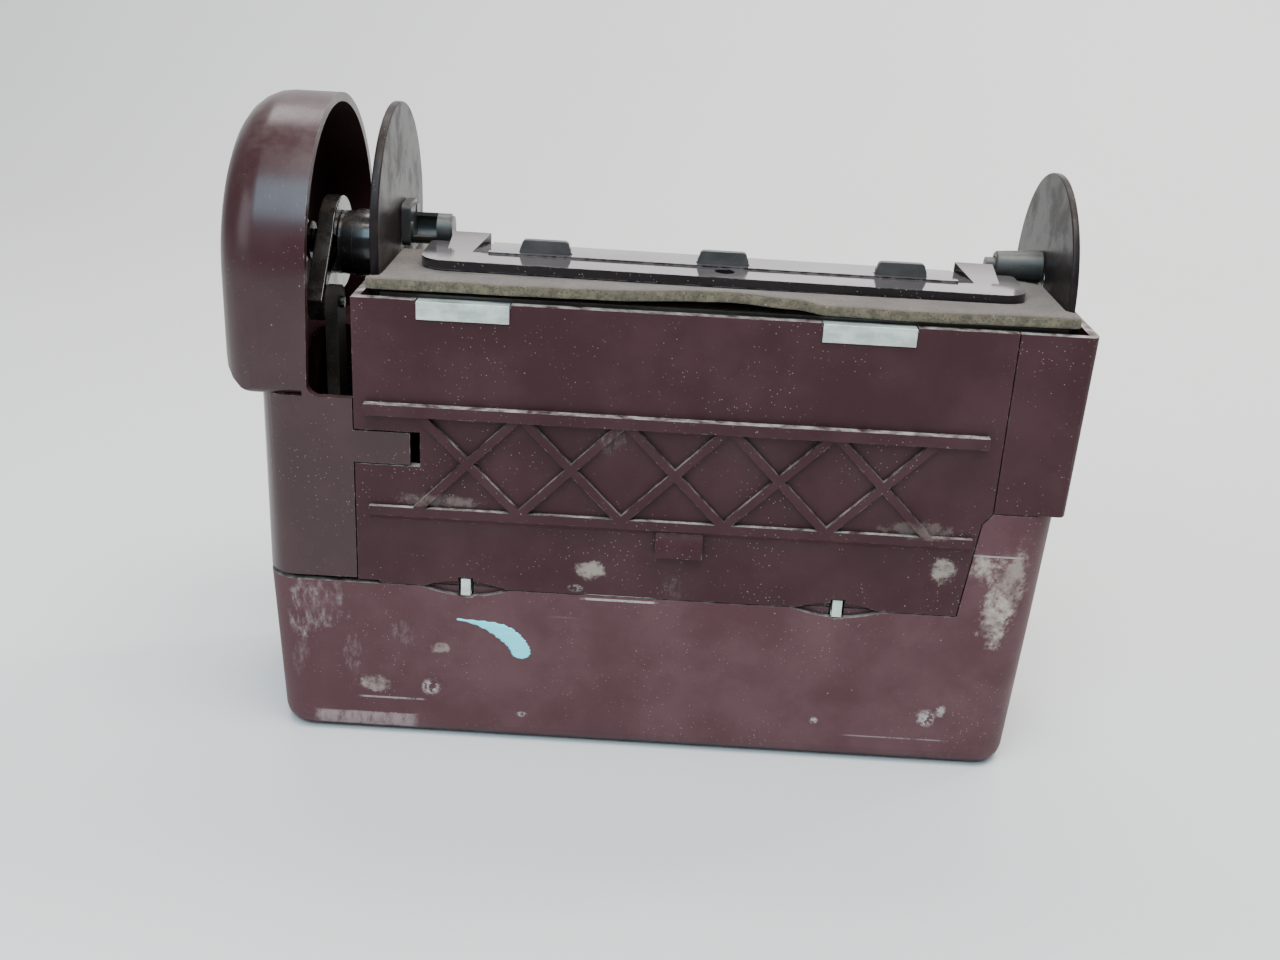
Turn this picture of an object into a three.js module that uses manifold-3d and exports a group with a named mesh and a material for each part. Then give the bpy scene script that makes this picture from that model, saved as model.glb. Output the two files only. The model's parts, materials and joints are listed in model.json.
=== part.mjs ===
// Roll holder unit with a gasketed deck: two flanged heads face each other over a glossy guide plate,
// and a crank and link under the hood at the left swing the left head.
//
// Millimetres, +Z up. The drawing axes below run from the front panel's left seam (x = 0), from the
// front face backwards (y = 0 ... 64) and up from the tub's inside floor (z = 0; its underside is at
// FOOT_Z). The group at the end shifts the whole object so that the middle of its bounding box, at the
// level of the underside, is the origin.

import * as THREE from 'three';
import { mergeVertices } from 'three/addons/utils/BufferGeometryUtils.js';
import Module from 'manifold-3d';

const wasm = await Module();
wasm.setup();

// ---- driving dimensions --------------------------------------------------------------------------

const WALL = 2.4;
const GAP = 0.3;

const FOOT_Z = -2.5;
const BODY_DEPTH = 64;
const BODY_TOP = 125;
const BODY_RIGHT = 188.2;
const PANEL_RIGHT = 168;
const SEAM_Z = 45.4;
const COVER_SEAM_Z = 76.2;
const COLUMN_LEFT = -25.3;
const TUB_RIGHT = 184.4;
const CORNER_RADIUS = 9;

const HOOD_LEFT = -35;
const HOOD_RIM = -11;
const HOOD_FLOOR = 97.4;
const HOOD_RADIUS = 42;
const HOOD_CENTRE_Z = 127.2;
const HOOD_EDGE = 11.5;

const AXIS_Y = 43;
const AXIS_Z = 128.9;
const LEFT_DISC = { face: 5.4, side: 1, thickness: 2.3, radius: 32.6, z: 135 };
const RIGHT_DISC = { face: 182.2, side: -1, thickness: 1.9, radius: 31, z: 127 };
const STUB_Y = 45;
const LEFT_STUB_Z = 133.6;
const RIGHT_STUB_Z = 132.2;
const STUB_RADIUS = 4.3;
const STUB_BORE = 3.0;
const PLUNGER_RADIUS = 2.5;

const PIN_Y = 22;
const PIN_Z = 117.5;
const SLIDER_PIN_Z = 63;
const ARM_LEFT = -15.6;
const ARM_RIGHT = -11.0;
const LINK_LEFT = -10.6;
const LINK_RIGHT = -7.2;

const DECK_TOP = 125.7;
const GASKET_BOTTOM = 126;
const GASKET_TOP = 129;
const GASKET_BACK = 40;
const PLATE_TOP = 131.9;
const PLATE_THICKNESS = 2.5;
const PLATE_SLOPE = 0.007;
const PLATE_LEFT = 14.5;
const PLATE_RIGHT = 173.3;
const PLATE_FRONT = 15.5;
const PLATE_BACK = 38;
const PLATE_STEP_Y = 26;
const PLATE_MIDDLE = (PLATE_LEFT + PLATE_RIGHT) / 2;
const HOOK_SPACING = 47.4;
const HOOK_WIDTH = 13.6;
const HOOK_FRONT = 28;
const HOOK_BACK = 30;

const LATTICE_LEFT = 16.5;
const LATTICE_PITCH = 27.1;
const LATTICE_BAYS = 5;
const LATTICE_TOP = 97.6;
const LATTICE_BOTTOM = 68.9;
const RIB_WIDTH = 2.2;
const RIB_PROUD = 1.4;
const TOP_RIB_PROUD = 2.4;

const RECESS_CENTRES = [29.5, 130.3];
const RECESS_WIDTH = 23.5;
const RECESS_HEIGHT = 4.6;

// ---- materials -----------------------------------------------------------------------------------

function plastic(color, roughness) {
  return new THREE.MeshStandardMaterial({ color, roughness, metalness: 0 });
}

function metal(color, roughness) {
  return new THREE.MeshStandardMaterial({ color, roughness, metalness: 1 });
}

const MAROON = plastic(0x4a2c31, 0.55);
const TUB_BROWN = plastic(0x4d3538, 0.6);
const HOOD_BLACK = plastic(0x2b2a30, 0.4);
const DULL_BLACK = plastic(0x1d1c1e, 0.55);
const GLOSS_BLACK = plastic(0x0c0b0d, 0.08);
const DARK_GREY = plastic(0x34353a, 0.6);
const ACETAL = plastic(0xb9b49a, 0.45);
const FOAM = plastic(0x6d5d50, 0.95);
const ZINC = metal(0xb7c4b8, 0.4);
const STEEL = metal(0x9a9a98, 0.35);

// ---- outlines ------------------------------------------------------------------------------------

// Rectangle with its own radius at each corner, in the order low-low, high-low, high-high, low-high.
function roundedRectangle(u0, u1, v0, v1, radii) {
  const [a, b, c, d] = Array.isArray(radii) ? radii : [radii, radii, radii, radii];
  const shape = new THREE.Shape();
  shape.moveTo(u0 + a, v0);
  shape.lineTo(u1 - b, v0);
  if (b > 0) shape.absarc(u1 - b, v0 + b, b, -Math.PI / 2, 0, false);
  shape.lineTo(u1, v1 - c);
  if (c > 0) shape.absarc(u1 - c, v1 - c, c, 0, Math.PI / 2, false);
  shape.lineTo(u0 + d, v1);
  if (d > 0) shape.absarc(u0 + d, v1 - d, d, Math.PI / 2, Math.PI, false);
  shape.lineTo(u0, v0 + a);
  if (a > 0) shape.absarc(u0 + a, v0 + a, a, Math.PI, Math.PI * 1.5, false);
  return shape;
}

function circle(u, v, radius) {
  return new THREE.Shape().absarc(u, v, radius, 0, Math.PI * 2, false);
}

function polygon(points) {
  return new THREE.Shape(points.map(([u, v]) => new THREE.Vector2(u, v)));
}

// Straight-sided arch with a half-round top and a rounded foot at its front.
function arch(y0, y1, z0, centreZ, foot) {
  const radius = (y1 - y0) / 2;
  const shape = new THREE.Shape();
  shape.moveTo(y0, z0 + foot);
  if (foot > 0) shape.absarc(y0 + foot, z0 + foot, foot, Math.PI, Math.PI * 1.5, false);
  shape.lineTo(y1, z0);
  shape.lineTo(y1, centreZ);
  shape.absarc(y0 + radius, centreZ, radius, 0, Math.PI, false);
  return shape;
}

// Slim eye shape between two equal arcs.
function lens(centreX, centreZ, width, height) {
  const half = width / 2;
  const rise = height / 2;
  const radius = (half * half + rise * rise) / (2 * rise);
  const angle = Math.asin(half / radius);
  const shape = new THREE.Shape();
  shape.absarc(centreX, centreZ + radius - rise, radius, -Math.PI / 2 - angle, -Math.PI / 2 + angle, false);
  shape.absarc(centreX, centreZ - radius + rise, radius, Math.PI / 2 - angle, Math.PI / 2 + angle, false);
  return shape;
}

// ---- solids --------------------------------------------------------------------------------------

function solid(geometry) {
  const bare = geometry.clone();
  bare.deleteAttribute('normal');
  bare.deleteAttribute('uv');
  const merged = mergeVertices(bare, 1e-4);
  const mesh = new wasm.Mesh({
    numProp: 3,
    vertProperties: new Float32Array(merged.attributes.position.array),
    triVerts: new Uint32Array(merged.index.array),
  });
  return new wasm.Manifold(mesh);
}

const ALONG_X = new THREE.Matrix4().makeBasis(
  new THREE.Vector3(0, 1, 0),
  new THREE.Vector3(0, 0, 1),
  new THREE.Vector3(1, 0, 0),
);
const ALONG_Y = new THREE.Matrix4().makeRotationX(Math.PI / 2);

function extrusion(shape, length, options = {}) {
  const settings = { depth: length, bevelEnabled: false, curveSegments: 8, steps: 1, ...options };
  return new THREE.ExtrudeGeometry(shape, settings);
}

// Outline in (y, z), pushed along x from x0 to x1.
function prismX(shape, x0, x1, options) {
  return solid(extrusion(shape, x1 - x0, options).applyMatrix4(ALONG_X).translate(x0, 0, 0));
}

// Outline in (x, z), pushed along y from y0 to y1.
function prismY(shape, y0, y1, options) {
  return solid(extrusion(shape, y1 - y0, options).applyMatrix4(ALONG_Y).translate(0, y1, 0));
}

// Outline in (x, y), pushed along z from z0 to z1.
function prismZ(shape, z0, z1, options) {
  return solid(extrusion(shape, z1 - z0, options).translate(0, 0, z0));
}

function box(x0, x1, y0, y1, z0, z1) {
  const geometry = new THREE.BoxGeometry(x1 - x0, y1 - y0, z1 - z0);
  return solid(geometry.translate((x0 + x1) / 2, (y0 + y1) / 2, (z0 + z1) / 2));
}

function rodX(y, z, radius, x0, x1, segments = 12) {
  return prismX(circle(y, z, radius), x0, x1, { curveSegments: segments });
}

function rodY(x, z, radius, y0, y1, segments = 10) {
  return prismY(circle(x, z, radius), y0, y1, { curveSegments: segments });
}

function rodZ(x, y, radius, z0, z1, segments = 10) {
  return prismZ(circle(x, y, radius), z0, z1, { curveSegments: segments });
}

// Body of revolution about a line along x through (y, z); profile points are [x, radius].
function turnedX(profile, y, z, segments = 28) {
  const points = profile.map(([x, radius]) => new THREE.Vector2(radius, x));
  const geometry = new THREE.LatheGeometry(points, segments);
  geometry.rotateZ(-Math.PI / 2);
  return solid(geometry.translate(0, y, z));
}

function union(solids) {
  return solids.reduce((whole, next) => whole.add(next));
}

function cut(whole, tools) {
  return tools.reduce((rest, tool) => rest.subtract(tool), whole);
}

class HelixCurve extends THREE.Curve {
  constructor(radius, height, turns) {
    super();
    this.radius = radius;
    this.height = height;
    this.turns = turns;
  }

  getPoint(t, target = new THREE.Vector3()) {
    const angle = t * this.turns * Math.PI * 2;
    const x = this.radius * Math.cos(angle);
    const y = this.radius * Math.sin(angle);
    return target.set(x, y, t * this.height);
  }
}

// Coil spring that stands on z = 0 with its middle on the z axis.
function springGeometry(radius, wire, height, turns) {
  const section = new THREE.Shape().absarc(0, 0, wire / 2, 0, Math.PI * 2, false);
  const path = new HelixCurve(radius, height, turns);
  const settings = { steps: turns * 9, curveSegments: 3, bevelEnabled: false, extrudePath: path };
  return new THREE.ExtrudeGeometry(section, settings);
}

// ---- assembly ------------------------------------------------------------------------------------

const model = new THREE.Group();

function addPart(name, body, material, parent = model) {
  const { vertProperties, triVerts } = body.getMesh();
  const geometry = new THREE.BufferGeometry();
  geometry.setAttribute('position', new THREE.BufferAttribute(vertProperties, 3));
  geometry.setIndex(new THREE.BufferAttribute(triVerts, 1));
  geometry.computeVertexNormals();
  const mesh = new THREE.Mesh(geometry, material);
  mesh.name = name;
  parent.add(mesh);
  return mesh;
}

// ---- lower tub -----------------------------------------------------------------------------------

const TUB_BEVEL = 5;
const TUB_DRAFT_LEFT = 0.044;
const TUB_DRAFT_RIGHT = 0.045;
const TUB_DRAFT_FRONT = 0.02;
const TUB_SHOULDER_X = 162.6;

// Leans the sides of a block in towards its foot, as a moulding's draft does.
function draft(body) {
  const middleX = (COLUMN_LEFT + TUB_RIGHT) / 2;
  const middleY = BODY_DEPTH / 2;
  return body.warp((vertex) => {
    const drop = SEAM_Z - vertex[2];
    const lean = TUB_DRAFT_FRONT * Math.max(drop, 0);
    vertex[0] += vertex[0] < middleX ? TUB_DRAFT_LEFT * drop : -TUB_DRAFT_RIGHT * drop;
    vertex[1] += vertex[1] < middleY ? lean : -lean;
  });
}

// Rounded block whose foot is rounded too; inset pulls every face in evenly. A thin slice at the seam
// gives the draft its kink there.
function tubBlock(inset, topZ) {
  const edge = TUB_BEVEL - inset;
  const flat = TUB_BEVEL;
  const corner = CORNER_RADIUS - flat;
  const plan = roundedRectangle(COLUMN_LEFT + flat, TUB_RIGHT - flat, flat, BODY_DEPTH - flat, corner);
  const settings = { bevelEnabled: true, bevelThickness: edge, bevelSize: edge, bevelSegments: 4 };
  const block = prismZ(plan, FOOT_Z + flat, SEAM_Z + 20, { ...settings, curveSegments: 5 });
  const lower = block.subtract(box(-200, 400, -200, 400, SEAM_Z, 400));
  const slice = block.intersect(box(-200, 400, -200, 400, SEAM_Z - 2, SEAM_Z)).translate(0, 0, 2 - 0.001);
  const stretch = (topZ - SEAM_Z) / (2 - 0.001);
  const upper = slice.translate(0, 0, -SEAM_Z).scale([1, 1, stretch]).translate(0, 0, SEAM_Z);
  return draft(lower.add(upper));
}

function baseTub() {
  const outer = tubBlock(0, COVER_SEAM_Z - GAP);
  const inner = tubBlock(WALL, COVER_SEAM_Z + 2);
  const above = prismY(
    polygon([
      [-100, SEAM_Z],
      [TUB_SHOULDER_X, SEAM_Z],
      [PANEL_RIGHT - 2.2, COVER_SEAM_Z - 3.4],
      [PANEL_RIGHT + 0.4, COVER_SEAM_Z - GAP],
      [PANEL_RIGHT + 0.4, 200],
      [-100, 200],
    ]),
    -50, 150,
  );
  const lugs = REAR_SCREW_XS.map((x) => screwLug(x, LOWER_SCREW_Z, 24, 5));
  const pockets = RECESS_CENTRES.flatMap((x) => [recessPocket(x), latchSlot(x)]);
  const holes = REAR_SCREW_XS.map((x) => screwHole(x, LOWER_SCREW_Z));
  return cut(union([cut(outer, [above, inner]), ...lugs]), [...pockets, ...holes]);
}

// Eye-shaped finger pocket across the seam, and the slot through the wall for the latch tongue in it.
function recessPocket(x) {
  return prismY(lens(x, SEAM_Z, RECESS_WIDTH, RECESS_HEIGHT), -1, 1.6, { curveSegments: 6 });
}

function latchSlot(x) {
  return box(x - 2, x + 2, -1, WALL + 1, SEAM_Z - 2.6, SEAM_Z + 3.2);
}

// ---- left end cover: hood, column and tongue -----------------------------------------------------

const TONGUE_RIGHT = 14.9;
const TONGUE_BOTTOM = 80.6;
const TONGUE_TOP = 89.4;
const COLUMN_FOOT = 46.9;
const COLUMN_TOP = 98;
const HOOD_FILLET = 3.4;
const HOOD_FOOT_RADIUS = 3.5;
const RIM_LEAN = 0.8;

// The arch swept along x: rounded over at the left, cut off a little out of square at the right.
function hoodBlock(inset) {
  const edge = HOOD_EDGE - inset;
  const back = 2 * HOOD_RADIUS - HOOD_EDGE;
  const foot = HOOD_FLOOR + HOOD_EDGE;
  const settings = { bevelEnabled: true, bevelThickness: edge, bevelSize: edge, bevelSegments: 6 };
  const core = arch(HOOD_EDGE, back, foot, HOOD_CENTRE_Z, 0);
  const swept = prismX(core, HOOD_LEFT + HOOD_EDGE, HOOD_RIM + 10, { ...settings, curveSegments: 22 });
  const limits = arch(inset, 2 * HOOD_RADIUS - inset, HOOD_FLOOR + inset, HOOD_CENTRE_Z, HOOD_FOOT_RADIUS);
  const block = swept.intersect(prismX(limits, HOOD_LEFT - 5, HOOD_RIM + 20, { curveSegments: 22 }));
  const rim = HOOD_RIM + (inset > 0 ? 5 : 0);
  const beyond = [
    [rim - RIM_LEAN, 60],
    [HOOD_RIM + 40, 60],
    [HOOD_RIM + 40, 200],
    [rim, 200],
    [rim, HOOD_CENTRE_Z],
    [rim - RIM_LEAN, HOOD_FLOOR],
  ];
  return block.subtract(prismY(polygon(beyond), -20, 120));
}

// Concave corner piece between the hood's upright rim and the column's top edge.
function hoodFillet() {
  const shape = new THREE.Shape();
  const top = COLUMN_TOP + HOOD_FILLET;
  const right = HOOD_RIM - RIM_LEAN + HOOD_FILLET;
  shape.moveTo(HOOD_RIM - 2, HOOD_FLOOR);
  shape.lineTo(right, HOOD_FLOOR);
  shape.lineTo(right, COLUMN_TOP);
  shape.absarc(right, top, HOOD_FILLET, -Math.PI / 2, -Math.PI, true);
  shape.lineTo(HOOD_RIM - 2, top);
  return prismY(shape, 0, WALL, { curveSegments: 5 });
}

function leftEndCover() {
  const plan = roundedRectangle(COLUMN_LEFT, 0, 0, BODY_DEPTH, [CORNER_RADIUS, 0, 0, CORNER_RADIUS]);
  const column = prismZ(plan, COLUMN_FOOT, COLUMN_TOP, { curveSegments: 5 });
  const innerRadius = CORNER_RADIUS - WALL;
  const hollowPlan = roundedRectangle(
    COLUMN_LEFT + WALL, 5, WALL, BODY_DEPTH - WALL, [innerRadius, 0, 0, innerRadius],
  );
  const hollow = prismZ(hollowPlan, COLUMN_FOOT - 5, HOOD_FLOOR + 12, { curveSegments: 5 });
  const tongue = box(-1, TONGUE_RIGHT, 0, 2.2, TONGUE_BOTTOM, TONGUE_TOP);
  const shell = union([hoodBlock(0), column, hoodFillet()]);
  const wallSlot = box(COLUMN_LEFT - 1, COLUMN_LEFT + WALL + 1, 12, 22, 85, 93.5);
  const hollowed = cut(shell, [hoodBlock(WALL), hollow, wallSlot]).add(tongue);
  const bearingBoss = rodX(AXIS_Y, AXIS_Z, 8, HOOD_LEFT + 1.2, -24, 10);
  const bearingBore = rodX(AXIS_Y, AXIS_Z, 5.4, HOOD_LEFT + 3.6, -20, 10);
  return hollowed.add(bearingBoss).subtract(bearingBore);
}

// ---- front panel ---------------------------------------------------------------------------------

const PANEL_STEP_X = 6;
const PANEL_THICKNESS = 2.6;

// A straight rib between two points of the front face.
function rib(x0, z0, x1, z1, width, proud) {
  const along = new THREE.Vector2(x1 - x0, z1 - z0).normalize();
  const side = new THREE.Vector2(-along.y, along.x).multiplyScalar(width / 2);
  const outline = [
    [x0 - side.x, z0 - side.y],
    [x1 - side.x, z1 - side.y],
    [x1 + side.x, z1 + side.y],
    [x0 + side.x, z0 + side.y],
  ];
  return prismY(polygon(outline), -proud, 0.5);
}

function lattice() {
  const top = LATTICE_TOP - 1.7;
  const bottom = LATTICE_BOTTOM - 0.6;
  const ribs = [];
  for (let bay = 0; bay < LATTICE_BAYS; bay += 1) {
    const left = LATTICE_LEFT + bay * LATTICE_PITCH;
    const right = left + LATTICE_PITCH;
    ribs.push(rib(left, top, right, bottom, RIB_WIDTH, RIB_PROUD));
    ribs.push(rib(left, bottom, right, top, RIB_WIDTH, RIB_PROUD));
  }
  return union(ribs);
}

function frontPanel() {
  const outline = polygon([
    [GAP, SEAM_Z + 1.1],
    [PANEL_STEP_X, SEAM_Z + 1.1],
    [PANEL_STEP_X + 0.8, SEAM_Z + GAP],
    [TUB_SHOULDER_X - GAP, SEAM_Z + GAP],
    [PANEL_RIGHT - 2.5, COVER_SEAM_Z - 3.3],
    [PANEL_RIGHT, COVER_SEAM_Z],
    [PANEL_RIGHT, BODY_TOP],
    [GAP, BODY_TOP],
  ]);
  const plate = prismY(outline, 0, PANEL_THICKNESS);
  const topRib = box(3.3, 164, -TOP_RIB_PROUD, 0.5, LATTICE_TOP - 3, LATTICE_TOP);
  const lowerLedge = prismX(
    polygon([[-RIB_PROUD, LATTICE_BOTTOM], [-RIB_PROUD, LATTICE_BOTTOM - 2.5], [0, LATTICE_BOTTOM - 4],
      [0.5, LATTICE_BOTTOM - 4], [0.5, LATTICE_BOTTOM]]), 4, 163.6,
  );
  const catchTab = prismX(
    polygon([[-2.4, 59], [0.5, 59], [0.5, 65.8], [-0.6, 65.8], [-2.4, 62.4]]), 80.2, 92.7,
  );
  const endWall = box(GAP, 2.3, 1, BODY_DEPTH - WALL - GAP, 60, BODY_TOP);
  const front = union([plate, topRib, lattice(), lowerLedge, catchTab, endWall]);
  const tongueWindow = box(-1, 17.5, -5, PANEL_THICKNESS + GAP, TONGUE_BOTTOM - 0.4, TONGUE_TOP + 0.4);
  const shaftNotch = union([
    rodX(AXIS_Y, AXIS_Z, 10.5, -1, 4, 10),
    box(-1, 4, AXIS_Y - 10.5, AXIS_Y + 10.5, AXIS_Z, BODY_TOP + 10),
  ]);
  const pockets = RECESS_CENTRES.flatMap((x) => [recessPocket(x), latchSlot(x)]);
  const clipSeats = CLIP_LEFTS.map((x) => box(
    x - GAP, x + CLIP_WIDTH + GAP, -1, PANEL_THICKNESS + 1, CLIP_TOP - CLIP_THICKNESS - GAP, BODY_TOP + 1,
  ));
  return cut(front, [tongueWindow, shaftNotch, ...pockets, ...clipSeats]);
}

// ---- right end cover -----------------------------------------------------------------------------

const COVER_INSIDE = 185.8;
const COVER_DRAFT = 0.02;
const COVER_DRAFT_INSIDE = 0.01;
const DISC_SLOT_BOTTOM = 90;

function rightEndCover() {
  const plan = roundedRectangle(PANEL_RIGHT + GAP, BODY_RIGHT, 0, BODY_DEPTH, [0, 2.5, 2.5, 0]);
  const block = prismZ(plan, COVER_SEAM_Z, BODY_TOP, { curveSegments: 4 });
  const back = BODY_DEPTH - WALL;
  const hollow = box(PANEL_RIGHT - 2, COVER_INSIDE, WALL, back, COVER_SEAM_Z - 1, BODY_TOP + 1);
  const drafted = block.subtract(hollow).warp((vertex) => {
    const drop = BODY_TOP - vertex[2];
    if (vertex[0] > COVER_INSIDE + 1) vertex[0] -= COVER_DRAFT * drop;
    else if (vertex[0] > COVER_INSIDE - 1) vertex[0] -= COVER_DRAFT_INSIDE * drop;
  });
  const lug = union([
    rodX(AXIS_Y, AXIS_Z, 10, COVER_INSIDE, BODY_RIGHT, 10),
    box(COVER_INSIDE, BODY_RIGHT, AXIS_Y - 10, AXIS_Y + 10, BODY_TOP - 6, AXIS_Z),
  ]);
  const bushBore = rodX(AXIS_Y, AXIS_Z, 5.4, COVER_INSIDE - 1, BODY_RIGHT + 1, 10);
  const discSlot = box(181.4, 184.9, BODY_DEPTH - 5, BODY_DEPTH + 5, DISC_SLOT_BOTTOM, BODY_TOP + 5);
  return cut(drafted.add(lug), [bushBore, discSlot]);
}

// ---- rear panel ----------------------------------------------------------------------------------

const REAR_SCREW_XS = [13, 155];
const LOWER_SCREW_Z = 54;
const UPPER_SCREW_Z = 119.5;
const REAR_SCREWS = [LOWER_SCREW_Z, UPPER_SCREW_Z].flatMap((z) => REAR_SCREW_XS.map((x) => [x, z]));
const SCREW_LUG_FRONT = 52;

function rearPanel() {
  const outline = polygon([
    [GAP, SEAM_Z + GAP],
    [TUB_SHOULDER_X - GAP, SEAM_Z + GAP],
    [PANEL_RIGHT - 2.5, COVER_SEAM_Z - 3.3],
    [PANEL_RIGHT, COVER_SEAM_Z],
    [PANEL_RIGHT, BODY_TOP],
    [GAP, BODY_TOP],
  ]);
  const inside = BODY_DEPTH - WALL;
  const plate = prismY(outline, inside, BODY_DEPTH);
  const stiffeners = [66, 100].map((z) => box(12, 156, inside - 2, inside + 0.5, z, z + 2));
  const holes = REAR_SCREWS.map(([x, z]) => screwHole(x, z));
  const counterbores = REAR_SCREWS.map(([x, z]) => rodY(x, z, 3.6, BODY_DEPTH - 1.4, BODY_DEPTH + 1, 6));
  const discSlot = box(-1, 6.6, inside - 4, BODY_DEPTH + 1, DISC_SLOT_BOTTOM, BODY_TOP + 1);
  return cut(union([plate, ...stiffeners]), [...holes, ...counterbores, discSlot]);
}

// Block just inside the rear panel that a screw bites into.
function screwLug(x, z, below, above) {
  return box(x - 4.5, x + 4.5, SCREW_LUG_FRONT, BODY_DEPTH - WALL - GAP, z - below, z + above);
}

function screwHole(x, z) {
  return rodY(x, z, 1.8, SCREW_LUG_FRONT - 1, BODY_DEPTH + 1, 6);
}

function rearScrew(x, z) {
  const head = rodY(x, z, 3.2, BODY_DEPTH - 1.1, BODY_DEPTH - 0.1, 6);
  const shank = rodY(x, z, 1.5, SCREW_LUG_FRONT + 1, BODY_DEPTH - 1, 5);
  const slots = [
    box(x - 2, x + 2, BODY_DEPTH - 0.7, BODY_DEPTH + 1, z - 0.4, z + 0.4),
    box(x - 0.4, x + 0.4, BODY_DEPTH - 0.7, BODY_DEPTH + 1, z - 2, z + 2),
  ];
  return cut(head.add(shank), slots);
}

// ---- deck, gasket and guide plate ----------------------------------------------------------------

const DECK_LEFT = 6.9;
const DECK_RIGHT = 180.9;
const HOOK_XS = [-1, 0, 1].map((step) => PLATE_MIDDLE + step * HOOK_SPACING);

// Slots that let the hooks through a layer, wider than a hook by a margin all round.
function hookSlots(margin) {
  const half = HOOK_WIDTH / 2 + margin;
  return HOOK_XS.map((x) => box(x - half, x + half, HOOK_FRONT - margin, HOOK_BACK + margin, 100, 140));
}

function topDeck() {
  const front = 3.9;
  const back = BODY_DEPTH - WALL - GAP;
  const plate = box(DECK_LEFT, DECK_RIGHT, front, back, DECK_TOP - 2.5, DECK_TOP);
  const skirtDepth = 10;
  const skirts = [
    box(DECK_LEFT, DECK_RIGHT, front, front + 2, DECK_TOP - skirtDepth, DECK_TOP - 1),
    box(DECK_LEFT, DECK_RIGHT, back - 2, back, DECK_TOP - skirtDepth, DECK_TOP - 1),
  ];
  const lugs = REAR_SCREW_XS.map((x) => screwLug(x, UPPER_SCREW_Z, 4, 4.5));
  const holes = REAR_SCREW_XS.map((x) => screwHole(x, UPPER_SCREW_Z));
  return cut(union([plate, ...skirts, ...lugs]), [...hookSlots(GAP), ...holes]);
}

// The plate has sunk into the foam at its right end: this drops each point in step with its x.
function settle(body) {
  return body.warp((vertex) => {
    vertex[2] -= PLATE_SLOPE * (vertex[0] - PLATE_LEFT);
  });
}

function foamGasket() {
  const outline = polygon([
    [3.6, 1.6],
    [183.4, 1.6],
    [183.4, 7.4],
    [181.4, 10.6],
    [181.4, GASKET_BACK - 3],
    [178.4, GASKET_BACK],
    [6.1, GASKET_BACK],
    [6.1, 6.2],
    [3.6, 5.2],
  ]);
  const footprint = roundedRectangle(
    PLATE_LEFT - 1, PLATE_RIGHT + 1, PLATE_FRONT - 1, GASKET_BACK + 5, [8, 8, 1, 1],
  );
  const bed = settle(prismZ(footprint, PLATE_TOP - PLATE_THICKNESS - GAP, PLATE_TOP, { curveSegments: 4 }));
  return cut(prismZ(outline, GASKET_BOTTOM, GASKET_TOP), [...hookSlots(1), bed]);
}

// Wedge that climbs towards the back near one end of the plate. towards is +1 when its inner side faces +x.
function plateWedge(outerX, towards) {
  const front = PLATE_STEP_Y + 0.5;
  const rise = 2.9;
  const reach = outerX + towards * 20;
  const ramp = prismX(
    polygon([[front, PLATE_TOP - 1], [PLATE_BACK, PLATE_TOP - 1], [PLATE_BACK, PLATE_TOP + rise],
      [front, PLATE_TOP]]),
    Math.min(outerX, reach), Math.max(outerX, reach),
  );
  const plan = [
    [outerX, front - 1],
    [outerX + towards * 6.3, front - 1],
    [outerX + towards * 10.6, PLATE_BACK + 1],
    [outerX, PLATE_BACK + 1],
  ];
  const outline = polygon(towards > 0 ? plan : plan.reverse());
  return ramp.intersect(prismZ(outline, PLATE_TOP - 2, PLATE_TOP + rise + 1));
}

const WEDGE_INSET = 6;

function guidePlate() {
  const plan = roundedRectangle(PLATE_LEFT, PLATE_RIGHT, PLATE_FRONT, PLATE_BACK, [7, 7, 1.5, 1.5]);
  const slab = prismZ(plan, PLATE_TOP - PLATE_THICKNESS, PLATE_TOP, { curveSegments: 7 });
  const rearStep = box(
    PLATE_LEFT + 17, PLATE_RIGHT - 17, PLATE_STEP_Y, PLATE_BACK, PLATE_TOP - 0.5, PLATE_TOP + 0.5,
  );
  const wedges = [plateWedge(PLATE_LEFT + WEDGE_INSET, 1), plateWedge(PLATE_RIGHT - WEDGE_INSET, -1)];
  const hole = rodZ(PLATE_MIDDLE + 0.4, 22.6, 2.7, PLATE_TOP - 10, PLATE_TOP + 5, 10);
  return cut(settle(union([slab, rearStep, ...wedges])), [hole, ...hookSlots(GAP)]);
}

// Flat tongue that stands up through the deck, gasket and plate and holds the plate down.
function retainingHook(x) {
  const half = HOOK_WIDTH / 2;
  const surface = PLATE_TOP - PLATE_SLOPE * (x - PLATE_LEFT);
  const top = surface + 3.9;
  const outline = new THREE.Shape();
  outline.moveTo(x - half, DECK_TOP - 9);
  outline.lineTo(x + half, DECK_TOP - 9);
  outline.lineTo(x + half, surface + 1.5);
  outline.lineTo(x + half - 0.5, top - 1.2);
  outline.absarc(x + half - 1.7, top - 1.2, 1.2, 0, Math.PI / 2, false);
  outline.absarc(x - half + 1.7, top - 1.2, 1.2, Math.PI / 2, Math.PI, false);
  outline.lineTo(x - half, surface + 1.5);
  return prismY(outline, HOOK_FRONT, HOOK_BACK, { curveSegments: 4 });
}

// ---- metal clips and latch tongues ---------------------------------------------------------------

const CLIP_LEFTS = [16.9, 119];
const CLIP_WIDTH = 23.5;
const CLIP_THICKNESS = 0.5;
const CLIP_TOP = BODY_TOP - 0.1;

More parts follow.
